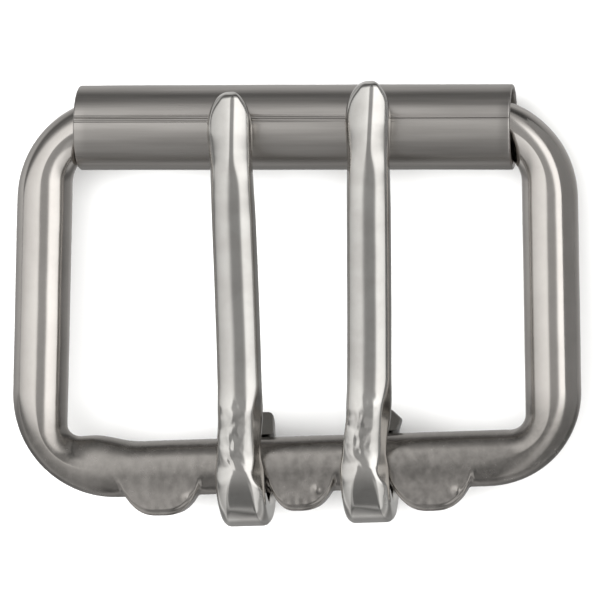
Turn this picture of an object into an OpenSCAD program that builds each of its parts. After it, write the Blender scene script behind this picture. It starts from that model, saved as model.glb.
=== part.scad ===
// Double prong roller buckle for a wide belt.
// It lies on its back: X runs along the roller, +Y points from the heel bar to the roller, and +Z to
// the front. The origin is under the middle of the buckle, on the surface that it lies on.

/* [Frame] */
// Diameter of the round wire that the frame is bent from
wire_d = 5.5; // [5:0.1:5.6]
// Distance between the axes of the two side bars at the heel bar
heel_span = 51.4; // [51:0.1:54]
// Distance between the axes of the two side bars at the roller
roller_span = 50.1; // [50:0.1:52]
// Distance from the heel bar's axis to the roller's axis, halfway along the buckle
reach = 33.25; // [32:0.05:36]
// Angle by which the heel bar is out of parallel with the roller, because the wire is bent by hand
skew = 2.2; // [0:0.1:2.5]
// Outer radius of the left bend at the heel bar
heel_left_r = 10.2; // [8.5:0.1:10.5]
// Outer radius of the right bend at the heel bar
heel_right_r = 9.3; // [8.5:0.1:10.5]
// Outer radius of the two bends at the roller
roller_bend_r = 10.2; // [9:0.1:10.5]
// Inner radius of the bends at the heel bar, where the wire is pinched
heel_pinch_r = 1.5; // [1:0.1:2.5]
// Inner radius of the bends at the roller
roller_pinch_r = 2; // [1:0.1:2]
// How much the wire's radius swells in the bends
bend_swell = 0.02; // [0.02:0.01:0.05]
// Distance of the top bar's axis beyond the roller's axis
top_bar_lift = 0.3; // [0.2:0.05:0.5]

/* [Lobes on the heel bar] */
// Thickness of the lobes that are squashed out of the heel bar
lobe_t = 3.2; // [2.6:0.1:3.6]
// Angle by which the lobes' faces slope down from the front of the bar
lobe_slope = 11; // [8:1:14]
// How far the lobes' faces lie inside the round of the bar where they leave it
lobe_sink = 0.1; // [0.05:0.05:0.2]

/* [Roller] */
// Outer diameter of the roller
roller_d = 8.4; // [8.2:0.1:8.8]
// Wall thickness of the roller's tube
roller_wall = 0.5; // [0.4:0.05:0.6]
// Length of the roller
roller_len = 43.2; // [42:0.1:43.6]
// Width of the open butt seam along the roller
seam_w = 0.2; // [0.1:0.05:0.4]
// Angle of the seam from the front, towards the roller's outer side
seam_angle = 10; // [0:1:60]

/* [Prongs] */
// Distance of the left prong's curl from the middle of the buckle
left_x = -4.85; // [-6:0.05:-4.8]
// Distance of the right prong's curl from the middle of the buckle
right_x = 7.3; // [6.8:0.05:7.35]
// How far the left prong's shank stands to the right of its curl
left_shift = 0.45; // [0:0.05:0.9]
// How far the right prong's shank stands to the right of its curl
right_shift = 0.8; // [0:0.05:0.9]
// Angle by which the left prong leans to the right of square to the heel bar
left_lean = 0; // [-1:0.1:1]
// Angle by which the right prong leans to the right of square to the heel bar
right_lean = 1.9; // [-1:0.1:2]
// Distance from the heel bar's axis to the left prong's tip
left_len = 36.7; // [36.5:0.1:38]
// Distance from the heel bar's axis to the right prong's tip
right_len = 37.2; // [36.5:0.1:38]
// Width of the strap that is curled round the heel bar
curl_w = 4.75; // [4:0.05:4.8]
// Thickness of the curled strap
curl_t = 2.25; // [2:0.05:2.4]
// Inner radius of the curl, which is loose on the heel bar
curl_r = 3.4; // [3.35:0.05:3.6]
// How far the loose curl is pulled back, away from the roller
curl_slack = 0.35; // [0:0.05:0.35]
// Angle of the curl's end, from the roller side round by the front and the back
curl_end = 350; // [330:1:352]
// Width of the corner that is cut off the end of the right prong's curl
cut_w = 1.25; // [0.5:0.05:1.8]
// Angle of that cut from the curl's end
cut_angle = 77; // [70:1:82]

/* [Hidden] */

wire_r = wire_d / 2;
roller_r = roller_d / 2;
curl_out = curl_r + curl_t;
curl_start = 90;
skin = 0.05;
lap = 0.25;
rim_round = 0.2;
far = 60;

// The curls and the roller touch the surface, so the frame slopes down to the roller
lay_angle = asin((curl_out - roller_r) / reach);
back_y = -curl_out - curl_slack + left_x * tan(skew);
tip_height = 5.71;
tip_y = (right_x * tan(skew) + right_len) * cos(lay_angle) + tip_height * sin(lay_angle);
front_y = max(reach * cos(lay_angle) + roller_r, tip_y);
middle_y = (back_y + front_y) / 2;

// The wire's axis turns at four corners, counterclockwise from the left end of the heel bar
function heel_v(x) = x * tan(skew);
corners = [
    [-heel_span / 2, heel_v(-heel_span / 2)],
    [heel_span / 2, heel_v(heel_span / 2)],
    [roller_span / 2, reach + top_bar_lift],
    [-roller_span / 2, reach + top_bar_lift]
];
outer_r = [heel_left_r, heel_right_r, roller_bend_r, roller_bend_r];
pinch_r = [heel_pinch_r, heel_pinch_r, roller_pinch_r, roller_pinch_r];
bend_r = [for (r = outer_r) r - wire_r];
window_r = [for (r = pinch_r) r + wire_r];
window_steps = 4;

function unit(v) = v / norm(v);
function to_last(i) = unit(corners[(i + 3) % 4] - corners[i]);
function to_next(i) = unit(corners[(i + 1) % 4] - corners[i]);
function corner_angle(i) = acos(to_last(i) * to_next(i));
function inward(i, away) = corners[i] + unit(to_last(i) + to_next(i)) * away / sin(corner_angle(i) / 2);
function turn_start(i, r) = corners[i] + to_last(i) * r / tan(corner_angle(i) / 2);
function turn_end(i, r) = corners[i] + to_next(i) * r / tan(corner_angle(i) / 2);
function turned(v, a) = [v[0] * cos(a) - v[1] * sin(a), v[0] * sin(a) + v[1] * cos(a)];
function turn(i, r) = [
    for (k = [0 : window_steps])
        let (centre = inward(i, r))
        centre + turned(turn_start(i, r) - centre, (180 - corner_angle(i)) * k / window_steps)
];

// Lobes along the heel bar: place, how far the middle lies below the bar's axis, radius
lobe_x = 0;
lobe_drop = 1;
lobe_r = 2;
lobes = [
    [-13.2, 1.05, 3.6],
    [0.45, 1.6, 3],
    [13.65, 1.2, 3.75]
];
lobe_edge = 0.3;

// Sections of a prong from the curl to the tip: distance from the heel bar's axis, height of the
// middle over it, half width, half thickness, and squareness, where 2 is an ellipse
function sections(tip) = [
    [-0.6, 4.52, 2.28, 1.05, 3.0],
    [1.2, 4.56, 2.20, 1.12, 2.8],
    [3.2, 4.70, 2.18, 1.32, 2.5],
    [5.3, 4.90, 2.18, 1.50, 2.3],
    [8.0, 4.84, 2.12, 1.50, 2.3],
    [16.0, 4.65, 2.12, 1.50, 2.4],
    [24.0, 4.90, 2.12, 1.48, 2.4],
    [28.6, 5.50, 2.12, 1.45, 2.3],
    [tip - 6.2, 5.86, 2.20, 1.50, 2.1],
    [tip - 3.9, 5.97, 2.32, 1.60, 2.0],
    [tip - 2.1, 5.92, 2.20, 1.50, 2.0],
    [tip - 0.9, 5.82, 1.70, 1.16, 2.0],
    [tip - 0.2, 5.74, 0.95, 0.64, 2.0],
    [tip, tip_height, 0.35, 0.24, 2.0]
];
steps = 3;
sides = 24;

// A smooth curve through the rows of a table whose first column rises
function slope(rows, i) =
    let (a = rows[max(i - 1, 0)], b = rows[min(i + 1, len(rows) - 1)])
    (b - a) / (b[0] - a[0]);
function between(rows, i, t) =
    let (h = rows[i + 1][0] - rows[i][0])
    rows[i] * (2 * t * t * t - 3 * t * t + 1)
    + slope(rows, i) * h * (t * t * t - 2 * t * t + t)
    + rows[i + 1] * (3 * t * t - 2 * t * t * t)
    + slope(rows, i + 1) * h * (t * t * t - t * t);
function smooth(rows) = [
    for (i = [0 : len(rows) - 2])
        for (k = [0 : steps - 1])
            between(rows, i, k / steps),
    rows[len(rows) - 1]
];

function bulge(c, squareness) = sign(c) * pow(abs(c), 2 / squareness);
function sideways(v, shift, lean) =
    let (t = min(max(v / 5, 0), 1))
    shift * t * t * (3 - 2 * t) + v * tan(lean);
function ring(s, shift, lean) = [
    for (k = [0 : sides - 1])
        let (a = 360 * k / sides)
        [
            sideways(s[0], shift, lean) + s[2] * bulge(cos(a), s[4]),
            s[0],
            s[1] + s[3] * bulge(sin(a), s[4])
        ]
];

// Everything is built flat, round the middle of the heel bar's axis, and then laid on the surface
module lay_down() {
    translate([0, -middle_y, curl_out])
        rotate([-lay_angle, 0, 0])
            children();
}

module on_heel_bar(x) {
    translate([x, heel_v(x), 0])
        rotate([0, 0, skew])
            children();
}

// A straight stretch runs a little way into the slightly thicker bend at each end
module straight_wire(a, b, thick_r) {
    translate([a[0], a[1], 0])
        rotate([0, 90, atan2(b[1] - a[1], b[0] - a[0])])
            translate([0, 0, -lap])
                cylinder(r = thick_r, h = norm(b - a) + 2 * lap, $fn = 64);
}

module bent_wire(i, r, thick_r) {
    centre = inward(i, r);
    from = turn_start(i, r) - centre;
    translate([centre[0], centre[1], 0])
        rotate([0, 0, atan2(from[1], from[0])])
            rotate_extrude(angle = 180 - corner_angle(i), $fn = 128)
                translate([r, 0])
                    circle(r = thick_r, $fn = 64);
}

module wire_loop(radii, thick_r) {
    for (i = [0 : 3]) {
        next = (i + 1) % 4;
        straight_wire(turn_end(i, radii[i]), turn_start(next, radii[next]), thick_r);
        bent_wire(i, radii[i], thick_r + bend_swell);
    }
}

// The space inside the frame. Its corners are tighter than the bends, which pinches them on the inside.
module window() {
    difference() {
        translate([0, 0, -wire_r - 1])
            linear_extrude(wire_d + 2)
                polygon([for (i = [0 : 3]) each turn(i, window_r[i])]);
        wire_loop(window_r, wire_r + skin);
    }
}

// A round pad with softened edges, its face on z = 0 and its body below
module pad(r, t) {
    translate([0, 0, -t])
        rotate_extrude($fn = 96)
            polygon([
                [0, 0], [r - lobe_edge, 0], [r, lobe_edge],
                [r, t - lobe_edge], [r - lobe_edge, t], [0, t]
            ]);
}

// A lobe is the part of a tilted pad that stands out of the bar. Its face runs into the bar's front.
module lobe(spot) {
    face_height = (wire_r - lobe_sink) / cos(lobe_slope) - spot[lobe_drop] * tan(lobe_slope);
    root = wire_r * sin(lobe_slope);
    on_heel_bar(spot[lobe_x])
        intersection() {
            translate([0, -spot[lobe_drop], face_height])
                rotate([lobe_slope, 0, 0])
                    pad(spot[lobe_r], lobe_t);
            translate([-far / 2, -far - root, -far / 2])
                cube(far);
        }
}

module frame() {
    color("silver")
        lay_down()
            union() {
                difference() {
                    wire_loop(bend_r, wire_r);
                    window();
                }
                for (spot = lobes)
                    lobe(spot);
            }
}

module roller() {
    half = roller_len / 2;
    bore_r = roller_r - roller_wall;
    color("gainsboro")
        lay_down()
            translate([0, reach, 0])
                rotate([90, 0, 90])
                    difference() {
                        rotate_extrude($fn = 128)
                            polygon([
                                [bore_r, -half], [roller_r - rim_round, -half],
                                [roller_r, -half + rim_round], [roller_r, half - rim_round],
                                [roller_r - rim_round, half], [bore_r, half]
                            ]);
                        rotate([0, 0, 90 - seam_angle])
                            translate([0, -seam_w / 2, -far / 2])
                                cube([roller_d, seam_w, far]);
                    }
}

// The strap round the heel bar: its outer edges are bevelled, and its bore is left round
module curl(cut) {
    half = curl_w / 2;
    bevel = 0.75;
    burr = 0.15;
    translate([0, -curl_slack, 0])
        difference() {
            rotate([90, 0, 90])
                rotate([0, 0, curl_start])
                    rotate_extrude(angle = curl_end - curl_start, $fn = 128)
                        polygon([
                            [curl_r, burr - half], [curl_r + burr, -half],
                            [curl_out - bevel, -half], [curl_out, bevel - half],
                            [curl_out, half - bevel], [curl_out - bevel, half],
                            [curl_r + burr, half], [curl_r, half - burr]
                        ]);
            if (cut)
                rotate([curl_end, 0, 0])
                    translate([half - cut_w, curl_out, 0])
                        rotate([0, cut_angle, 45])
                            translate([-far / 2, -far / 2, 0])
                                cube(far);
        }
}

module shank(tip, shift, lean) {
    rings = smooth(sections(tip));
    last = len(rings) - 1;
    points = [for (s = rings) each ring(s, shift, lean)];
    walls = [
        for (i = [0 : last - 1])
            for (k = [0 : sides - 1])
                let (m = (k + 1) % sides)
                [i * sides + m, (i + 1) * sides + m, (i + 1) * sides + k, i * sides + k]
    ];
    heel_cap = [for (k = [sides - 1 : -1 : 0]) k];
    tip_cap = [for (k = [0 : sides - 1]) last * sides + k];
    polyhedron(points, concat([heel_cap, tip_cap], walls));
}

module prong(x, tip, shift, lean, cut) {
    color("lightgray")
        lay_down()
            on_heel_bar(x)
                union() {
                    curl(cut);
                    shank(tip, shift, lean);
                }
}

module prong_left() {
    prong(left_x, left_len, left_shift, left_lean, false);
}

module prong_right() {
    prong(right_x, right_len, right_shift, right_lean, true);
}

frame();
roller();
prong_left();
prong_right();
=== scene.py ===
import functools
import math

import bmesh
import bpy
from mathutils import Matrix, Vector, noise


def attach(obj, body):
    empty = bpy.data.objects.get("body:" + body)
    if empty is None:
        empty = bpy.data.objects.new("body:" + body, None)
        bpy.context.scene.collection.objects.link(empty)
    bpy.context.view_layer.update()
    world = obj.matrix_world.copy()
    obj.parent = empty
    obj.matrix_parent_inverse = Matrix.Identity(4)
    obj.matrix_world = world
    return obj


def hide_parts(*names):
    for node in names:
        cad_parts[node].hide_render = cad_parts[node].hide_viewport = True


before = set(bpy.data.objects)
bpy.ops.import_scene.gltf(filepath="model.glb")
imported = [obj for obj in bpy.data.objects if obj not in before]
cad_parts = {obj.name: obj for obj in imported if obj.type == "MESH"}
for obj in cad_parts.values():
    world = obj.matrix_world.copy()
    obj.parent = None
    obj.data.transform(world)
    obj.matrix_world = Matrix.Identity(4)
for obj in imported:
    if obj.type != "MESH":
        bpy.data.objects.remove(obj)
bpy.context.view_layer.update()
print("buckle: frame loaded")

# Everything below is shaped in millimetres, flat round the middle of the heel bar: x runs along the
# bar, v towards the roller and n to the front. layDown then puts it on the surface, in metres.
plan = {
    "reach": 33.25,  # heel bar's axis to the roller's axis
    "skewDeg": 2.2,  # the heel bar is this far out of parallel
    "heelSpan": 51.4,  # between the side bars' axes at the heel bar
    "rollerSpan": 50.1,  # and at the roller
    "wireRadius": 2.75,
    "curlOut": 5.65,  # outer radius of the curls, which carry the heel end
    "curlSlack": 0.35,  # the loose curls hang this far back on the bar
    "rollerRadius": 4.2,
    "leftX": -4.85,  # the prongs' places on the bar
    "rightX": 7.3,
    "rightLength": 37.2,  # of the longer prong, from the bar's axis
    "tipHeight": 5.71,  # of its tip
}
skewTan = math.tan(math.radians(plan["skewDeg"]))
layAngle = math.asin((plan["curlOut"] - plan["rollerRadius"]) / plan["reach"])
backY = plan["leftX"] * skewTan - plan["curlOut"] - plan["curlSlack"]
frontY = (plan["rightX"] * skewTan + plan["rightLength"]) * math.cos(layAngle)
frontY += plan["tipHeight"] * math.sin(layAngle)
layDown = (
    Matrix.Scale(0.001, 4)
    @ Matrix.Translation((0, -(backY + frontY) / 2, plan["curlOut"]))
    @ Matrix.Rotation(-layAngle, 4, "X")
)


def clamp(value, low=0.0, high=1.0):
    return max(low, min(high, value))


# 0 at low, 1 at high, smooth between; low may be the larger one
def ease(low, high, value):
    t = clamp((value - low) / (high - low))
    return t * t * (3 - 2 * t)


def mix(a, b, share):
    return a + (b - a) * share


# the lesser of two values, rounded over a width of k where they meet
def softMin(a, b, k):
    h = max(k - abs(a - b), 0.0) / k
    return min(a, b) - h * h * k / 4


def softMax(a, b, k):
    return -softMin(-a, -b, k)


# value of each column of a table at v, on a smooth curve through its rows
def tableAt(rows, v):
    last = len(rows) - 1
    i = 0
    while i < last - 1 and v > rows[i + 1][0]:
        i += 1
    below, above = rows[i], rows[i + 1]
    step = above[0] - below[0]
    t = clamp((v - below[0]) / step)
    before = rows[max(i - 1, 0)]
    after = rows[min(i + 2, last)]
    values = []
    for c in range(1, len(below)):
        rise = (above[c] - before[c]) / (above[0] - before[0]) * step
        fall = (after[c] - below[c]) / (after[0] - below[0]) * step
        values.append(
            below[c] * (2 * t ** 3 - 3 * t * t + 1)
            + rise * (t ** 3 - 2 * t * t + t)
            + above[c] * (3 * t * t - 2 * t ** 3)
            + fall * (t ** 3 - t * t)
        )
    return values


# a plain tube of rings, one for each station: x and y give a vertex's angle, z its station
def ringTube(sides, stations):
    bm = bmesh.new()
    bmesh.ops.create_grid(bm, x_segments=sides, y_segments=stations - 1, size=1)
    for vert in bm.verts:
        around = vert.co.x * math.pi
        vert.co = (math.cos(around), math.sin(around), (vert.co.y + 1) / 2 * (stations - 1))
    bmesh.ops.remove_doubles(bm, verts=bm.verts, dist=0.0001)
    return bm


def finishPiece(name, bm, node, material):
    bmesh.ops.remove_doubles(bm, verts=bm.verts, dist=0.0005)
    bmesh.ops.transform(bm, matrix=layDown, verts=bm.verts)
    bmesh.ops.recalc_face_normals(bm, faces=bm.faces)
    mesh = bpy.data.meshes.new(name)
    bm.to_mesh(mesh)
    bm.free()
    mesh.shade_smooth()
    piece = bpy.data.objects.new(name, mesh)
    bpy.context.collection.objects.link(piece)
    piece.data.materials.append(material)
    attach(piece, node)
    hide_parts(node)
    print("buckle:", name, len(mesh.polygons), "faces")
    return piece


# a socket that takes part in sums
class Flow:
    def __init__(self, socket):
        self.socket = socket

    # the one way to add a node: its settings first, then the values or links of its sockets
    def node(self, kind, settings=None, inputs=None, output=0):
        tree = self.socket.id_data
        made = tree.nodes.new(kind)
        for key, value in (settings or {}).items():
            if key == "stops":
                elements = made.color_ramp.elements
                elements.remove(elements[1])
                elements[0].position = value[0][0]
                elements[0].color = (value[0][1], value[0][1], value[0][1], 1)
                for place, grey in value[1:]:
                    elements.new(place).color = (grey, grey, grey, 1)
            else:
                setattr(made, key, value)
        for key, value in (inputs or {}).items():
            if isinstance(value, Flow):
                tree.links.new(value.socket, made.inputs[key])
            else:
                made.inputs[key].default_value = value
        return Flow(made.outputs[output])

    def sums(self, operation, a, b):
        return self.node("ShaderNodeMath", {"operation": operation}, {0: a, 1: b})

    def __add__(self, other):
        return self.sums("ADD", self, other)

    def __radd__(self, other):
        return self.sums("ADD", other, self)

    def __sub__(self, other):
        return self.sums("SUBTRACT", self, other)

    def __rsub__(self, other):
        return self.sums("SUBTRACT", other, self)

    def __mul__(self, other):
        return self.sums("MULTIPLY", self, other)

    def __rmul__(self, other):
        return self.sums("MULTIPLY", other, self)

    def between(self, low, high):
        return self.node("ShaderNodeMapRange", {"interpolation_type": "SMOOTHSTEP"},
                         {0: self, 1: low, 2: high})


def startMaterial(name):
    material = bpy.data.materials.new(name)
    material.use_nodes = True
    tree = material.node_tree
    shader = next(n for n in tree.nodes if n.type == "BSDF_PRINCIPLED")
    coords = tree.nodes.new("ShaderNodeTexCoord")
    start = Flow(coords.outputs["Object"])
    inMm = start.node("ShaderNodeVectorMath", {"operation": "SCALE"}, {0: start, "Scale": 1000.0})
    return material, shader, inMm


def noiseAt(coords, scale, detail=2.0, roughness=0.5):
    return coords.node("ShaderNodeTexNoise", {}, {
        "Vector": coords, "Scale": scale, "Detail": detail, "Roughness": roughness,
    })


def stretched(coords, x, y, z):
    return coords.node("ShaderNodeVectorMath", {"operation": "MULTIPLY"}, {0: coords, 1: (x, y, z)})


def blended(amount, first, second):
    return amount.node("ShaderNodeMix", {"data_type": "RGBA"}, {0: amount, 6: first, 7: second}, 2)


def tint(amount, dark, light):
    return blended(amount, (*dark, 1), (*light, 1))


def plug(shader, name, value):
    shader.id_data.links.new(value.socket, shader.inputs[name])


# steel with its colour, roughness and fine relief plugged in
def makeSteel(shader, colour, rough, relief, strength):
    plug(shader, "Base Color", colour)
    plug(shader, "Roughness", rough)
    plug(shader, "Normal", relief.node("ShaderNodeBump", {}, {
        "Strength": strength, "Distance": 0.00002, "Height": relief,
    }))
    shader.inputs["Metallic"].default_value = 1.0


# distance from the heel bar's axis towards the roller, and height over the table
def placeInPlan(mm):
    axes = mm.node("ShaderNodeSeparateXYZ", {}, {0: mm})
    y, z = Flow(axes.socket.node.outputs[1]), Flow(axes.socket.node.outputs[2])
    return y - axes * skewTan + (backY + frontY) / 2, z


wireLook = {
    "dark": (0.56, 0.533, 0.507),
    "light": (0.66, 0.632, 0.603),
    "heelDark": (0.26, 0.246, 0.231),
    "heelLight": (0.33, 0.312, 0.294),
    "lobeDark": (0.36, 0.339, 0.319),
    "lobeLight": (0.44, 0.415, 0.392),
    "roughness": 0.1,
    "relief": 0.12,
    "cloudScale": 0.22,
    "fineScale": 2.6,
    "pitScale": 5.5,
    "mottleScale": 0.9,
    # the heel bar is matte up to the first distance from its axis, and no more beyond the second
    "matte": (2.2, 7.5),
    "lobe": (-2.6, -0.6),  # the lobes are lighter past the first, and the bar up to the second
}


def wireSteel():
    material, shader, mm = startMaterial("tumbledWire")
    cloud = noiseAt(mm, wireLook["cloudScale"], 3)
    fine = noiseAt(mm, wireLook["fineScale"], 4, 0.6)
    pits = noiseAt(mm, wireLook["pitScale"], 2)
    fromHeel = placeInPlan(mm)[0]
    onLobe = 1 - fromHeel.between(*wireLook["lobe"])
    fromHeel = fromHeel.node("ShaderNodeMath", {"operation": "ABSOLUTE"}, {0: fromHeel})
    matte = 1 - fromHeel.between(*wireLook["matte"])
    mottle = noiseAt(mm, wireLook["mottleScale"], 5, 0.65).between(0.35, 0.68)
    shade = cloud.between(0.3, 0.75) * 0.6 + fine * 0.4
    bright = tint(shade, wireLook["dark"], wireLook["light"])
    wearAndPaintedShade = tint(mottle, wireLook["heelDark"], wireLook["heelLight"])
    squashed = tint(mottle, wireLook["lobeDark"], wireLook["lobeLight"])
    colour = blended(matte * 0.85, bright, blended(onLobe, wearAndPaintedShade, squashed))
    rough = wireLook["roughness"] + fine * 0.04 + cloud * 0.03 + matte * (0.06 + mottle * 0.08)
    relief = fine * 0.5 + pits.between(0.62, 0.72) * -0.5 + matte * mottle * 0.5
    makeSteel(shader, colour, rough, relief, wireLook["relief"])
    return material


prongLook = {
    "dark": (0.59, 0.572, 0.55),
    "light": (0.69, 0.68, 0.655),
    "roughness": 0.08,
    "relief": 0.08,
    "cloudScale": 0.35,
    "fineScale": 3.0,
    "streaks": (4.0, 0.25, 4.0),
    # painted light: lighter where the prong turns down, by how much and between which distances from
    # the bar's axis
    "hookPaintedLight": 0.3,
    "hook": (-3.6, -1.2),
    # darker at the curl's end, low down on the roller side
    "curlShade": 0.6,
    "curl": (0.5, 2.5),
    "curlHeight": (5.0, 8.0),
    # and painted shade along the middle of the shank
    "shankShade": 0.22,
    "shankFrom": (5.5, 11.0),
    "shankTo": (23.0, 28.5),
}


def prongSteel():
    material, shader, mm = startMaterial("polishedProng")
    cloud = noiseAt(mm, prongLook["cloudScale"], 3)
    fine = noiseAt(mm, prongLook["fineScale"], 4, 0.6)
    streaks = noiseAt(stretched(mm, *prongLook["streaks"]), 1.0, 3)
    v, z = placeInPlan(mm)
    # painted light, a lighter colour on the hook
    hooked = (1 - v.between(*prongLook["hook"])) * prongLook["hookPaintedLight"]
    curled = (1 - z.between(*prongLook["curlHeight"])) * v.between(*prongLook["curl"])
    # painted shade, a darker colour along the middle of the shank
    wearAndPaintedShade = v.between(*prongLook["shankFrom"]) * (1 - v.between(*prongLook["shankTo"]))
    # colour scale: painted light on the hook, painted shade on the shank and at the curl's end
    paintedLightScale = 1 + hooked - wearAndPaintedShade * prongLook["shankShade"] - curled * prongLook["curlShade"]
    shade = cloud.between(0.3, 0.7) * 0.7 + fine * 0.3
    colour = tint(shade, prongLook["dark"], prongLook["light"])
    colour = colour.node("ShaderNodeVectorMath", {"operation": "SCALE"}, {0: colour, "Scale": paintedLightScale})
    rough = prongLook["roughness"] + fine * 0.03 + streaks * 0.03 + curled * 0.15
    makeSteel(shader, colour, rough, fine * 0.5 + streaks * 0.4, prongLook["relief"])
    return material


rollerLook = {
    "dark": (0.38, 0.362, 0.345),
    "light": (0.56, 0.538, 0.515),
    "roughness": 0.22,
    "relief": 0.25,
    "streaks": (0.06, 5.0, 5.0),
    "broadStreaks": (0.05, 1.1, 1.1),
    "cloudScale": 0.2,
}


def rollerSteel():
    material, shader, mm = startMaterial("satinTube")
    streaks = noiseAt(stretched(mm, *rollerLook["streaks"]), 1.0, 5, 0.7)
    broad = noiseAt(stretched(mm, *rollerLook["broadStreaks"]), 1.0, 3)
    cloud = noiseAt(mm, rollerLook["cloudScale"], 2)
    shade = broad.between(0.3, 0.7) * 0.6 + streaks * 0.4
    colour = tint(shade, rollerLook["dark"], rollerLook["light"])
    rough = rollerLook["roughness"] + streaks * 0.1 + cloud * 0.05
    makeSteel(shader, colour, rough, streaks + broad * 0.4, rollerLook["relief"])
    return material


wireMaterial = wireSteel()
prongMaterial = prongSteel()
rollerMaterial = rollerSteel()
print("buckle: steels made")

# the bent wire with its three lobes
wire = {
    "sides": 128,
    # of the four bends, from the heel bar's left end round by its right
    "outerRadii": [10.2, 9.3, 10.2, 10.2],
    "innerRadii": [1.5, 1.5, 3.0, 3.0],  # pinched, so tighter than the wire alone would give
    "pinchSoft": 0.15,  # rounding where the pinched flank meets the round wire
    "pinchBlend": 1.5,  # and at most this many times the depth of the pinch
    "topBarLift": 0.3,  # the bar lies this far out of the roller's middle
    "heelStep": 0.2,  # distances between the rings
    "bendStep": 0.3,
    "barStep": 0.6,
    "waver": 0.02,  # unevenness of the tumbled surface
    "waverScale": 0.28,
    "heelWaver": 0.012,  # more of it on the heel bar, up to the first distance from its middle
    "heelWaverTo": (15.5, 18),
    # the heel bar is thicker towards the inside of the left corner
    "swellFrom": -15.4,
    "swellTo": -20.4,
    "swellBy": 0.75,
    "swellBelow": 8,  # how far up the frame it can reach
}
# lobes: middle along the bar, depth below its axis, how fast the outline rises, and its power;
# steepLeft is how much faster it rises on the left, and reach how far the fine relief goes
lobes = [
    {"at": -13.2, "depth": 4.66, "rise": 0.047, "power": 2.97, "reach": 4.4, "steepLeft": 1.0,
     "ribbed": 0.3, "lipAt": 2.85, "lipOut": -2.9},
    {"at": 0.45, "depth": 4.58, "rise": 0.053, "power": 3.0, "reach": 3.95, "steepLeft": 2.3,
     "ribbed": 1.0, "lipAt": 2.0, "lipOut": -2.5},
    {"at": 13.65, "depth": 4.95, "rise": 0.052, "power": 2.9, "reach": 4.5, "steepLeft": 1.0,
     "ribbed": 0.5, "lipAt": 2.65, "lipOut": -3.0},
]
punch = {
    "slopeDeg": 11,  # the faces slope down from the front of the bar
    "back": 1.3,  # how far they reach behind the bar's middle
    "edge": 5.0,  # squareness of the edge
    "edgeSoft": (1.3, 0.25),  # rounding between face and edge, near the bar and far out
    "joinSoft": (0.02, 0.3),  # and between lobe and bar
    "outward": (0.45, 0.9),  # directions between which near turns into far out
    "rim": 0.16,  # step from the face down to the rolled rim
    "rimFrom": (0.34, 0.62),  # how far inside the outline it lies
    "faceFrom": (-2.1, -2.7),  # and how far out from the bar the step begins and is full
    "ribs": 0.008,  # fine folds that spread to the rim
    "ribCount": 23,
    "ribsInside": (1.6, 0.7, 0.4),  # distance from the outline where they begin, are full and end
    "lipSize": 0.3,  # a raised spot where the rim was pressed up
    "lipRise": 0.2,
    "samples": 260,  # points of a section before they are spaced
    "rimCrowd": 1.2,  # how much closer the points lie on the rim
}

halfHeel = plan["heelSpan"] / 2
halfTop = plan["rollerSpan"] / 2
topV = plan["reach"] + wire["topBarLift"]
corners = [
    Vector((-halfHeel, -halfHeel * skewTan)),
    Vector((halfHeel, halfHeel * skewTan)),
    Vector((halfTop, topV)),
    Vector((-halfTop, topV)),
]


@functools.cache
def toLast(i):
    return (corners[i - 1] - corners[i]).normalized()


@functools.cache
def toNext(i):
    return (corners[(i + 1) % 4] - corners[i]).normalized()


def halfAngle(i):
    return math.acos(toLast(i).dot(toNext(i))) / 2


@functools.cache
def turnCentre(i, radius):
    return corners[i] + (toLast(i) + toNext(i)).normalized() * radius / math.sin(halfAngle(i))


def turnLength(i, radius):
    return radius / math.tan(halfAngle(i))


def leftOf(direction):
    return Vector((-direction.y, direction.x))


# stations along the wire: a point of its axis, the direction into the frame, the bend if it is in one,
# and the place along the heel bar if it is there
def wireStations():
    radii = [r - plan["wireRadius"] for r in wire["outerRadii"]]
    stations = []
    for i in range(4):
        nextI = (i + 1) % 4
        along = toNext(i)
        start = corners[i] + along * turnLength(i, radii[i])
        end = corners[nextI] - along * turnLength(nextI, radii[nextI])
        length = (end - start).length
        step = wire["heelStep"] if i == 0 else wire["barStep"]
        count = round(length / step)
        for k in range(count):
            point = start.lerp(end, k / count)
            onHeel = (point - corners[0]).length - (corners[1] - corners[0]).length / 2
            stations.append((point, leftOf(along), None, onHeel if i == 0 else None))
        centre = turnCentre(nextI, radii[nextI])
        sweep = math.pi - 2 * halfAngle(nextI)
        count = round(radii[nextI] * sweep / wire["bendStep"])
        for k in range(count):
            inward = leftOf(along)
            inward.rotate(Matrix.Rotation(sweep * k / count, 2))
            stations.append((centre - inward * radii[nextI], inward, nextI, None))
    stations.append(stations[0])
    return stations


# distance in the plane from the tighter line that the inside of the bends follows
def fromPinchLine(point, i):
    radius = wire["innerRadii"][i] + plan["wireRadius"]
    centre = turnCentre(i, radius)
    away = point - centre
    beyondLast = away.dot(toLast(i))
    beyondNext = away.dot(toNext(i))
    if beyondLast <= 0 and beyondNext <= 0:
        return radius - away.length
    toEdge = []
    if beyondLast > 0:
        toEdge.append((point - corners[i]).dot(leftOf(-toLast(i))))
    if beyondNext > 0:
        toEdge.append((point - corners[i]).dot(leftOf(toNext(i))))
    return min(toEdge)


def pinchedRadius(point, inward, i, c, s, radius):
    def outside(r):
        flat = fromPinchLine(point + inward * (c * r), i)
        return flat > 0 and flat * flat + (s * r) ** 2 > plan["wireRadius"] ** 2

    if not outside(radius):
        return radius
    low, high = 0.5, radius
    for _ in range(14):
        middle = (low + high) / 2
        if outside(middle):
            high = middle
        else:
            low = middle
    return softMin(low, radius, min(wire["pinchSoft"], wire["pinchBlend"] * (radius - low) + 0.0001))


def nearLobe(a):
    return min(lobes, key=lambda each: abs(a - each["at"]))


def lobeDepth(lobe, a):
    rise = lobe["rise"] * (lobe["steepLeft"] if a < lobe["at"] else 1.0)
    return max(lobe["depth"] - rise * abs(a - lobe["at"]) ** lobe["power"], 0.3)


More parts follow.
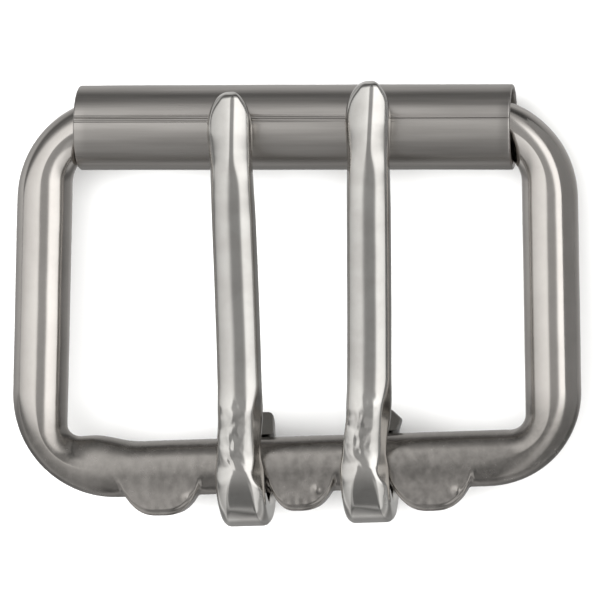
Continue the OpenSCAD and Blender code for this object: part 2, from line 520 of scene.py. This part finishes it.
# the bar's round, and a lobe that leaves its front at a slope and is squashed out to the lobe's depth
def heelRadius(a, c, s):
    lobe = nearLobe(a)
    slope = math.radians(punch["slopeDeg"])
    if c > -math.sin(slope):
        return plan["wireRadius"]
    p = punch["edge"]
    below = max(-s, 0.0) / punch["back"]
    plate = ((-c / lobeDepth(lobe, a)) ** p + below ** p) ** (-1 / p)
    if s < 0:
        return softMax(plan["wireRadius"], plate, punch["joinSoft"][1])
    face = plan["wireRadius"] / (s * math.cos(slope) - c * math.sin(slope))
    low = ease(*punch["outward"], -c)
    plate = softMin(plate, face, mix(*punch["edgeSoft"], low))
    return softMax(plan["wireRadius"], plate, mix(*punch["joinSoft"], low))


# the section at one place of the heel bar, as points evenly spaced round it, closer on a lobe's rim
def heelSection(a):
    lobe = nearLobe(a)
    count = punch["samples"]
    points = []
    total = [0.0]
    for k in range(count + 1):
        around = 2 * math.pi * k / count
        c, s = math.cos(around), math.sin(around)
        radius = heelRadius(a, c, s)
        points.append((c * radius, s * radius))
        if k:
            step = math.dist(points[-1], points[-2])
            inside = lobeDepth(lobe, a) + c * radius
            rim = ease(-0.5, 0.1, s) * ease(2.8, 3.8, radius) * ease(1.8, 1.0, inside)
            total.append(total[-1] + step * (1 + punch["rimCrowd"] * rim))
    section = []
    k = 0
    for j in range(wire["sides"]):
        want = total[-1] * j / wire["sides"]
        while total[k + 1] < want:
            k += 1
        t = (want - total[k]) / (total[k + 1] - total[k])
        section.append([mix(a, b, t) for a, b in zip(points[k], points[k + 1])])
    return section


# how far the front of a lobe sinks or rises from its plain face
def lobeRelief(a, out, n):
    lobe = nearLobe(a)
    away = a - lobe["at"]
    if abs(away) > lobe["reach"] or out > -1 or n < 0.2:
        return 0
    inside = lobeDepth(lobe, a) + out
    onFace = ease(0.2, 1.2, n) * ease(*punch["faceFrom"], out)
    change = -punch["rim"] * (1 - ease(*punch["rimFrom"], inside)) * onFace
    begin, full, end = punch["ribsInside"]
    ribs = punch["ribs"] * lobe["ribbed"] * ease(begin, full, inside) * ease(end, full, inside)
    fan = math.atan2(away, -out - 0.8)
    change += ribs * math.sin(fan * punch["ribCount"] + lobe["at"]) * onFace
    lip = math.hypot(away - lobe["lipAt"], out - lobe["lipOut"]) / punch["lipSize"]
    change += punch["lipRise"] * math.exp(-lip * lip)
    return change


def buildFrame():
    stations = wireStations()
    bm = ringTube(wire["sides"], len(stations))
    sections = {}
    for vert in bm.verts:
        i = round(vert.co.z)
        point, inward, corner, onHeel = stations[i]
        around = math.atan2(vert.co.y, vert.co.x)
        c, s = math.cos(around), math.sin(around)
        radius = plan["wireRadius"]
        if onHeel is not None:
            if i not in sections:
                sections[i] = heelSection(onHeel)
            j = round(around / (2 * math.pi) * wire["sides"]) % wire["sides"]
            c, s = sections[i][j]
            s += lobeRelief(onHeel, c, s)
            radius = math.hypot(c, s)
            c, s = c / radius, s / radius
        elif corner is not None:
            radius = pinchedRadius(point, inward, corner, c, s, radius)
        place = Vector((point.x + inward.x * c * radius, point.y + inward.y * c * radius, s * radius))
        radius += noise.noise(place * wire["waverScale"]) * wire["waver"]
        radius += noise.noise(place * 1.1) * wire["waver"] * 0.15
        if onHeel is not None:
            near, far = wire["heelWaverTo"]
            radius += noise.noise(place * 1.3) * wire["heelWaver"] * ease(far, near, abs(onHeel))
        x, v = point.x + inward.x * c * radius, point.y + inward.y * c * radius
        if v < wire["swellBelow"]:
            swell = wire["swellBy"] * ease(wire["swellFrom"], wire["swellTo"], x)
            v += swell * ease(0.2, 1, inward.y * c)
        vert.co = (x, v, s * radius)
    return finishPiece("wireFrame", bm, "frame", wireMaterial)


buildFrame()

# the roller, a rolled tube with an open seam
tube = {
    "wall": 0.5,
    "length": 43.2,
    "rim": 0.2,  # rounding of the rims
    "seamDeg": 10,  # from the front towards the outer side
    "gap": 0.07,  # open seam
    "grooveOut": 0.26,  # a fine groove on either side of it
    "grooveWide": 0.1,
    "grooveLeft": 0.09,  # depth at the left end and at the right
    "grooveRight": 0.02,
    "grooveFade": (-6, 14),  # places along the roller between which the one turns into the other
    "crowd": 0.86,  # how much closer the steps lie at the seam
    "steps": 200,  # round the tube, and cuts along it
    "cuts": 40,
    "waver": 0.015,
}


def buildRoller():
    bm = bmesh.new()
    outer = plan["rollerRadius"]
    # the section of the wall, as a flat face
    bmesh.ops.create_grid(bm, x_segments=1, y_segments=1, size=0.5)
    size = Matrix.Diagonal((tube["length"], tube["wall"], 1, 1))
    upright = Matrix.Rotation(math.pi / 2, 4, "X")
    place = Matrix.Translation((0, 0, outer - tube["wall"] / 2))
    bmesh.ops.transform(bm, matrix=place @ upright @ size, verts=bm.verts)
    bmesh.ops.bevel(
        bm, geom=bm.verts[:], offset=tube["rim"], segments=4, profile=0.5,
        affect="VERTICES", material=-1,
    )
    longEdges = [e for e in bm.edges if e.calc_length() > tube["length"] / 2]
    bmesh.ops.subdivide_edges(bm, edges=longEdges, cuts=tube["cuts"])
    gap = 0.02  # radians left open for now
    geom = bm.verts[:] + bm.edges[:] + bm.faces[:]
    bmesh.ops.rotate(bm, verts=bm.verts, cent=(0, 0, 0), matrix=Matrix.Rotation(gap / 2, 3, "X"))
    bmesh.ops.spin(
        bm, geom=geom, cent=(0, 0, 0), axis=(1, 0, 0), angle=2 * math.pi - gap,
        steps=tube["steps"], use_duplicate=False,
    )
    bmesh.ops.remove_doubles(bm, verts=bm.verts, dist=0.0005)
    for vert in bm.verts:
        x = vert.co.x
        radius = math.hypot(vert.co.y, vert.co.z)
        turn = math.atan2(-vert.co.y, vert.co.z) % (2 * math.pi)
        share = (turn - gap / 2) / (2 * math.pi - gap)
        share -= tube["crowd"] * math.sin(2 * math.pi * share) / (2 * math.pi)
        wide = tube["gap"] / outer
        turn = wide / 2 + share * (2 * math.pi - wide)
        beside = min(turn, 2 * math.pi - turn) * outer
        depth = mix(tube["grooveLeft"], tube["grooveRight"], ease(*tube["grooveFade"], x))
        radius -= depth * math.exp(-(((beside - tube["grooveOut"]) / tube["grooveWide"]) ** 2))
        turn += math.radians(tube["seamDeg"])  # from the front towards the outer side
        wobble = noise.noise(Vector((x * 0.12, math.cos(turn) * 1.3, math.sin(turn) * 1.3)))
        radius += wobble * tube["waver"]
        vert.co = (x, plan["reach"] + radius * math.sin(turn), radius * math.cos(turn))
    return finishPiece("rolledTube", bm, "roller", rollerMaterial)


buildRoller()

# the two prongs, each of them one row of rings from the curl's end to the tip; twist is how far the
# curl's end stands to the right, and a dent of the knuckle is a place across and along, size and depth
prongs = {
    "left": {
        "x": plan["leftX"], "length": 36.7, "shift": 0.45, "lean": 0.0, "cut": False, "twist": 0.4,
        "seed": 3.7,
        "dents": [
            (0.15, 6.2, 0.32, 0.06), (0.95, 5.5, 0.5, -0.04), (-0.6, 4.4, 0.55, 0.035),
            (0.3, 3.0, 0.4, 0.05), (-0.25, 1.6, 0.3, -0.03), (0.25, 1.0, 0.28, 0.04),
            (-0.35, 0.6, 0.25, 0.04),
        ],
    },
    "right": {
        "x": plan["rightX"] + 0.15, "length": plan["rightLength"], "shift": 0.65, "lean": 1.9,
        "cut": True, "twist": 0.9, "seed": 11.2,
        "dents": [
            (0.2, 6.0, 0.3, 0.06), (0.95, 5.6, 0.45, -0.04), (0.6, 4.4, 0.4, 0.04),
            (0.1, 3.6, 0.35, 0.04), (-0.15, 2.3, 0.25, 0.04), (0.25, 1.9, 0.25, -0.05),
            (0.0, 1.1, 0.28, 0.04),
        ],
    },
}
forging = {
    "sides": 72,
    "waver": 0.01,
    "wrinkles": ((1.0, 0.05), (2.6, 0.035)),  # of the knuckle: scale and depth
    "knuckle": (-1.0, 0.6, 5.6, 7.4),  # where they begin, are full, fade and end
    "knuckleTurn": 1.2,  # and how far into the curl they go
    "strapHalf": 2.375,  # half width of the curled strap
    "strapThick": 2.25,
    "backSoft": 0.25,  # rounding of its edges behind and in front
    "frontSoft": 0.05,
    # squareness of its dome, and what is added to it between two angles of the curl
    "dome": 1.5,
    "domeSteps": [(90, 108, 0.7), (140, 170, 0.5), (230, 290, 6)],
    "curlInner": 3.4,
    "curlEnd": 350,  # degrees, from the roller side round by the front
    "endSizes": (0.0, 0.5, 0.9, 0.97),  # the rings that close the curl's end
    "twistFrom": 290,
    "curlStep": 3,  # distances between the rings, in degrees and on the shank
    "shankStep": 0.25,
    "tipRound": 4.2,  # length of the rounded end
    "tipSteps": 22,
    "tipEdge": 0.75,  # the top stays high up to this far from the end
    "tipOutline": 0.9,  # powers by which the outline and the underside draw in
    "tipUnder": 0.55,
    "tipSoft": 2.5,  # rounding between top and outline for each part that is drawn in, and its most
    "tipSoftMost": 0.9,
    "ridgePower": 1.06,  # outline of the head's two faces, which meet in a fine ridge
    "roofPower": 1.5,
    "ridgeRound": 0.55,
    "strapFrom": (-2.4, 0.1),  # the shank turns into the strap over this length
    "hookRollDeg": 3.5,  # the flat front of the hook is turned to the right
    "hookRollTo": (128, 146),  # and straightens again between these degrees
    # the knuckle's right edge is hammered to a steep flank: this far from square, and its distance from
    # the middle by degrees round the curl
    "flankDeg": 32,
    "flank": [
        (-60, 2.4), (-25, 2.05), (5, 1.74), (25, 1.53), (45, 1.46), (75, 1.57), (95, 1.58), (108, 2.0),
        (118, 2.4),
    ],
    "cutSoft": 0.1,  # rounding of the flank's edge and of the cut corners
    # corners off the right curl's end, front and back: size, and the degrees after cutFrom to get there
    "cutFrom": 310,
    "endCorner": (1.25, 40),
    "endUnder": (0.6, 30),
    # hook: degrees round the curl and half width of the flat front
    "hook": [
        (80, 0.0), (84, 0.05), (88, 0.38), (92.5, 0.68), (100.5, 0.97), (111, 1.22), (122, 1.4),
        (142, 1.55), (165, 1.7), (200, 1.75), (360, 1.75),
    ],
}


# rows of the shank and the head: distance from the heel bar's axis, height over it, half width, half
# thickness, squareness, ridge, and how far the top lies to the right of the middle
def shankRows(tip):
    return [
        (-1.5, 4.52, 2.375, 1.125, 2.5, 0.6, 0),
        (-0.3, 4.52, 2.36, 1.125, 2.5, 0.6, -0.1),
        (1.2, 4.58, 2.17, 1.16, 2.2, 0.5, -0.6),
        (3.2, 4.72, 2.17, 1.32, 2.0, 0.2, -0.7),
        (5.3, 4.90, 2.20, 1.50, 2.05, 0, -0.5),
        (8.0, 4.84, 2.14, 1.50, 2.2, 0, -0.35),
        (16.0, 4.65, 2.13, 1.50, 2.25, 0, -0.35),
        (24.0, 4.90, 2.12, 1.48, 2.25, 0, -0.35),
        (tip - 10.4, 5.20, 2.11, 1.45, 2.2, 0, -0.25),
        (tip - 8.8, 5.46, 2.10, 1.45, 2.2, 0.3, -0.12),
        (tip - 7.2, 5.71, 2.09, 1.48, 2.2, 0.85, 0),
        (tip - 5.8, 5.87, 2.16, 1.53, 2.2, 1, 0.13),
        (tip - 3.9, 5.95, 2.26, 1.62, 2.2, 1, 0.25),
        (tip - 1.6, 5.85, 2.27, 1.55, 2.2, 1, 0.35),
        (tip, 5.71, 2.22, 1.40, 2.2, 1, 0.37),
    ]


# stations from the curl's end over the back and the front to the tip
def prongStations(prong):
    stations = []
    middle = forging["curlInner"] + forging["strapThick"] / 2
    angle = forging["curlEnd"]
    for size in forging["endSizes"]:
        stations.append({"curl": angle, "size": size})
    while angle > 90:
        stations.append({"curl": angle, "size": 1.0})
        angle -= forging["curlStep"]
    rows = shankRows(prong["length"])
    v = -plan["curlSlack"]
    tip = prong["length"]
    while v < tip - forging["tipRound"]:
        stations.append({"v": v, "size": 1.0})
        v += forging["shankStep"]
    for k in range(forging["tipSteps"]):
        t = math.pi / 2 * k / forging["tipSteps"]
        v = tip - forging["tipRound"] * (1 - math.sin(t))
        short = clamp(1 - (tip - v) / forging["tipEdge"])
        flat = max(math.sqrt(1 - short * short), 0.02)
        outline = max(math.cos(t) ** forging["tipOutline"], 0.02)
        under = max(math.cos(t) ** forging["tipUnder"], 0.02)
        stations.append({"v": v, "size": 1.0, "flat": flat, "outline": outline, "under": under})
    stations.append({"v": tip, "size": 0.0})
    for station in stations:
        if "curl" in station:
            a = math.radians(station["curl"])
            station["out"] = Vector((0, math.cos(a), math.sin(a)))
            station["centre"] = station["out"] * middle - Vector((0, plan["curlSlack"], 0))
            station["half"] = forging["strapHalf"]
            station["thick"] = forging["strapThick"] / 2
            station["square"] = 2.5
            station["ridge"] = 0.0
            station["over"] = 0.0
            station["beyond"] = (a - math.pi / 2) * middle
            station["angle"] = station["curl"]
        else:
            v = station["v"]
            height, half, thick, square, ridge, over = tableAt(rows, v)
            side = prong["shift"] * ease(0, 5, v) + v * math.tan(math.radians(prong["lean"]))
            station["centre"] = Vector((side, v, height))
            station["out"] = Vector((0, 0, 1))
            station["half"] = half
            station["thick"] = thick
            station["square"] = square
            station["ridge"] = clamp(ridge)
            station["over"] = over
            station["beyond"] = -v - plan["curlSlack"]
            station["angle"] = 90 + math.degrees(station["beyond"] / middle)
    return stations


# outline of the strap: a dome cut flat in front, a flat back with softened edges
def strapRadius(half, thick, angle, c, s):
    radius = half / max(abs(c), 0.02)
    if s <= 0:
        return softMin(radius, thick / max(-s, 0.02), forging["backSoft"])
    flat = max(tableAt(forging["hook"], angle)[0], 0.0)
    square = forging["dome"]
    for low, high, more in forging["domeSteps"]:
        square += more * ease(low, high, angle)
    dome = thick / (1 - (flat / half) ** square) ** (1 / square)
    radius = ((abs(c) / half) ** square + (s / dome) ** square) ** (-1 / square)
    return softMin(radius, thick / max(s, 0.02), forging["frontSoft"])


# outline of the shank, and on the head a roof of two faces that meet in the ridge
def shankRadius(station, c, s):
    ridge = station["ridge"]
    peaked = roof = station["square"]
    if s > 0:
        peaked = mix(peaked, forging["ridgePower"], ridge)
        roof = mix(roof, forging["roofPower"], ridge)
    soft = forging["ridgeRound"] * ridge
    wide = math.hypot(station["half"], soft) - soft
    low, high = 0.0, 6.0
    for _ in range(18):
        radius = (low + high) / 2
        across = (math.hypot(c * radius, soft) - soft) / wide
        if across ** peaked + (abs(s) * radius / station["thick"]) ** roof < 1:
            low = radius
        else:
            high = radius
    return radius


# the strap's end without the corners that are cut off it
def cutRadius(station, c, s, radius):
    half, thick = station["half"], station["thick"]
    pastCut = station["angle"] - forging["cutFrom"]
    if pastCut <= 0 or c <= 0:
        return radius
    if s > -0.2:
        size, over = forging["endCorner"]
        gone = size * clamp(pastCut / over)
        radius = softMin(radius, (half + thick - gone) / (c + max(s, 0.0)), forging["cutSoft"])
    if s < 0:
        size, over = forging["endUnder"]
        gone = size * clamp(pastCut / over)
        radius = softMin(radius, half / (c - s * gone / thick), forging["cutSoft"])
    return radius


def knuckleRelief(prong, place, seed):
    relief = sum(noise.noise(place * scale + seed) * depth for scale, depth in forging["wrinkles"])
    for across, along, size, depth in prong["dents"]:
        far = math.hypot(place.x - across, place.y - along) / size
        relief -= depth * math.exp(-far * far)
    return relief


def prongVertex(prong, station, around):
    c, s = math.cos(around), math.sin(around)
    half, thick, centre = station["half"], station["thick"], station["centre"]
    radius = shankRadius(station, c, s)
    size, flat = station["size"], station.get("flat", station["size"])
    if "outline" in station and s < 0:
        size, flat = station["outline"], station["under"]
    elif "outline" in station:
        edge = half * station["outline"] / max(abs(c), 0.001)
        soft = forging["tipSoft"] * (1 - station["outline"])
        radius = softMin(radius, edge, clamp(soft, 0.02, forging["tipSoftMost"]))
    # 0 on the shank, 1 where the strap is flat
    turned = ease(*forging["strapFrom"], station["beyond"])
    if turned > 0:
        radius = mix(radius, strapRadius(half, thick, station["angle"], c, s), turned)
    if prong["cut"]:
        radius = cutRadius(station, c, s, radius)
    place = centre + Vector((c * radius, 0, 0)) + station["out"] * (s * radius)
    seed = Vector((prong["seed"], 0, 0))
    radius += noise.noise(place * 0.35 + seed) * forging["waver"]
    if s > 0 and station["beyond"] < forging["knuckleTurn"]:
        begin, full, fade, end = forging["knuckle"]
        knuckle = ease(begin, full, place.y) * (1 - ease(fade, end, place.y)) * ease(0.1, 0.6, s)
        if knuckle > 0:
            beside = Vector((place.x - centre.x, place.y, place.z))
            radius += knuckle * knuckleRelief(prong, beside, seed)
    aside = c * radius * size + station["over"] * size * max(s * radius, 0.0) / thick
    height = s * radius * flat
    flank = math.radians(forging["flankDeg"])
    across = aside * math.cos(flank) + height * math.sin(flank)
    if across > 0.5:
        limit = tableAt(forging["flank"], station["angle"])[0]
        held = softMin(across, limit, forging["cutSoft"]) / across
        aside *= held
        height *= held
    aside += prong["twist"] * ease(forging["twistFrom"], forging["curlEnd"], station["angle"])
    roll = math.radians(forging["hookRollDeg"]) * turned
    roll *= 1 - ease(*forging["hookRollTo"], station["angle"])
    rolled = aside * math.cos(roll) + height * math.sin(roll)
    height = height * math.cos(roll) - aside * math.sin(roll)
    return centre + Vector((rolled, 0, 0)) + station["out"] * height


def buildProng(side):
    prong = prongs[side]
    stations = prongStations(prong)
    bm = ringTube(forging["sides"], len(stations))
    for vert in bm.verts:
        station = stations[round(vert.co.z)]
        vert.co = prongVertex(prong, station, math.atan2(vert.co.y, vert.co.x))
    place = Matrix.Translation((prong["x"], prong["x"] * skewTan, 0))
    place = place @ Matrix.Rotation(math.radians(plan["skewDeg"]), 4, "Z")
    bmesh.ops.transform(bm, matrix=place, verts=bm.verts)
    name = side + "Prong"
    return finishPiece(name, bm, "prong_" + side, prongMaterial)


buildProng("left")
buildProng("right")

# the table and the light
studio = {
    "floor": {"colour": (0.9, 0.9, 0.895), "specular": 0.1},
    # black card to the right of the buckle, seen by the steel alone
    "card": {
        "x": 38.0, "top": 15.5, "long": 90.0, "colour": (0.16, 0.16, 0.16), "specular": 0.5,
    },
    "tint": (1, 0.995, 0.985),  # colour of what the steel mirrors
    "peak": 1.7,  # brightness that stands for 1 in the profiles
    # light from left to right over the table, in degrees from straight up
    "across": [
        (-90, 0.42), (-76, 0.46), (-64, 0.54), (-40, 0.64), (-19, 0.72), (-12, 0.68), (-6, 0.27),
        (0, 0.25), (20, 0.255), (26, 0.38), (31, 0.84), (38, 0.98), (62, 0.93), (76, 0.8), (84, 0.3),
        (90, 0.18),
    ],
    # and from the heel side to the roller side
    "along": [
        (-90, 0.26), (-62, 0.3), (-45, 0.37), (-30, 0.56), (-14, 0.85), (0, 1), (44, 1), (52, 0.8),
        (60, 0.48), (76, 0.24), (90, 0.24),
    ],
    # the steel sees these in place of the table, in degrees from straight down
    "acrossLow": [
        (-90, 0.4), (-66, 0.33), (-42, 0.23), (-22, 0.42), (-9, 0.36), (9, 0.28), (19, 0.33),
        (42, 0.23), (60, 0.2), (75, 0.17), (90, 0.15),
    ],
    "alongLow": [
        (-90, 0.28), (-78, 0.32), (-70, 0.5), (-62, 0.75), (-50, 0.45), (-20, 0.45), (0, 0.9),
        (25, 1), (50, 1), (62, 0.75), (70, 0.38), (80, 0.2), (90, 0.24),
    ],
    "horizon": 0.06,  # height over which the upper light turns into the lower
    # two windows on the heel side, left and right of a dark middle: brightness, and the directions
    # at which each begins and is full
    "windows": {
        "bright": 0.14, "left": (-0.28, -0.42), "right": (0.02, 0.16), "ahead": (-0.25, -0.5),
        "low": (-0.65, -0.3),
    },
    "key": {"angle": -52, "far": 0.8, "wide": 0.5, "long": 0.6, "watts": 5.5},
    "fill": {"angle": 0, "far": 0.8, "wide": 1.0, "long": 1.0, "watts": 9.5},
}


# a matte sheet of the stage
def buildSheet(name, size, place):
    values = studio[name]
    bm = bmesh.new()
    bmesh.ops.create_grid(bm, x_segments=1, y_segments=1, size=size)
    bmesh.ops.transform(bm, matrix=place, verts=bm.verts)
    mesh = bpy.data.meshes.new(name)
    bm.to_mesh(mesh)
    bm.free()
    sheet = bpy.data.objects.new(name, mesh)
    bpy.context.collection.objects.link(sheet)
    material = bpy.data.materials.new(name)
    material.use_nodes = True
    shader = next(n for n in material.node_tree.nodes if n.type == "BSDF_PRINCIPLED")
    shader.inputs["Base Color"].default_value = (*values["colour"], 1)
    shader.inputs["Roughness"].default_value = 0.9
    shader.inputs["Specular IOR Level"].default_value = values["specular"]
    mesh.materials.append(material)
    return sheet


def buildFloor():
    floor = buildSheet("floor", 3, Matrix.Identity(4))
    floor.visible_glossy = False  # the studio's lower profiles stand in for it


def buildCard():
    values = studio["card"]
    spin = Matrix.Rotation(math.pi / 2, 4, "Y")
    size = Matrix.Diagonal((values["top"], values["long"], 1, 1))
    place = Matrix.Translation((values["x"] / 1000, 0, values["top"] / 2000))
    card = buildSheet("card", 0.0005, place @ spin @ size)  # one millimetre, stretched to its size
    card.visible_camera = False
    card.visible_diffuse = False
    card.visible_shadow = False


def softBox(name, values):
    angle = math.radians(values["angle"])
    light = bpy.data.lights.new(name, "AREA")
    light.shape = "RECTANGLE"
    light.size = values["wide"]
    light.size_y = values["long"]
    light.energy = values["watts"]
    lamp = bpy.data.objects.new(name, light)
    lamp.visible_glossy = False  # the steel mirrors the wide studio, this one only lights the table
    lamp.visible_camera = False
    lamp.location = (math.sin(angle) * values["far"], 0, math.cos(angle) * values["far"])
    lamp.rotation_euler = (0, angle, 0)
    bpy.context.collection.objects.link(lamp)


# brightness by the angle whose tangent is side over up
def profile(side, up, stops):
    angle = side.sums("ARCTAN2", side, up) * (180 / math.pi)
    places = [((at + 90) / 180, grey) for at, grey in stops]
    return side.node("ShaderNodeValToRGB", {"stops": places}, {0: angle * (1 / 180) + 0.5})


def buildStudio():
    buildFloor()
    buildCard()
    softBox("keyLight", studio["key"])
    softBox("fillLight", studio["fill"])
    world = bpy.data.worlds.new("studio")
    world.use_nodes = True
    tree = world.node_tree
    back = tree.nodes["Background"]
    start = Flow(tree.nodes.new("ShaderNodeTexCoord").outputs["Generated"])
    x = start.node("ShaderNodeSeparateXYZ", {}, {0: start})
    y, z = Flow(x.socket.node.outputs[1]), Flow(x.socket.node.outputs[2])
    above = profile(x, z, studio["across"]) * profile(y, z, studio["along"])
    below = profile(x, 0 - z, studio["acrossLow"]) * profile(y, 0 - z, studio["alongLow"])
    light = below + z.between(-studio["horizon"], studio["horizon"]) * (above - below)
    windows = studio["windows"]
    sides = x.between(*windows["left"]) + x.between(*windows["right"])
    light += sides * y.between(*windows["ahead"]) * z.between(*windows["low"]) * windows["bright"]
    back.inputs["Color"].default_value = (*studio["tint"], 1)
    tree.links.new((light * studio["peak"]).socket, back.inputs["Strength"])
    bpy.context.scene.world = world
    bpy.context.scene.view_settings.view_transform = "Standard"


# the camera
eye = {
    "yawDeg": 8.1,  # to the right of square to the frame
    "rollDeg": 0.19,
    "distance": 450.0,
    "target": (0.49, 16.2, 0.0),
    "view": 59.23,  # width of the picture at the target
}


def buildCamera():
    roll, yaw = math.radians(eye["rollDeg"]), math.radians(eye["yawDeg"])
    right = Vector((math.cos(roll), math.sin(roll), 0))
    up = Vector((-math.sin(roll), math.cos(roll), 0))
    front = Vector((0, 0, 1))
    back = front * math.cos(yaw) + right * math.sin(yaw)
    right = right * math.cos(yaw) - front * math.sin(yaw)
    turned = Matrix((right, up, back)).transposed().to_4x4()
    place = Matrix.Translation(Vector(eye["target"]) + back * eye["distance"])
    data = bpy.data.cameras.new("camera")
    data.sensor_width = 36
    data.lens = 36 * eye["distance"] / eye["view"]
    data.clip_start = 0.01
    camera = bpy.data.objects.new("camera", data)
    where = Matrix.Translation((layDown @ place).to_translation())
    camera.matrix_world = where @ layDown.to_3x3().normalized().to_4x4() @ turned
    bpy.context.collection.objects.link(camera)
    bpy.context.scene.camera = camera


buildStudio()
buildCamera()
print("buckle: studio ready")
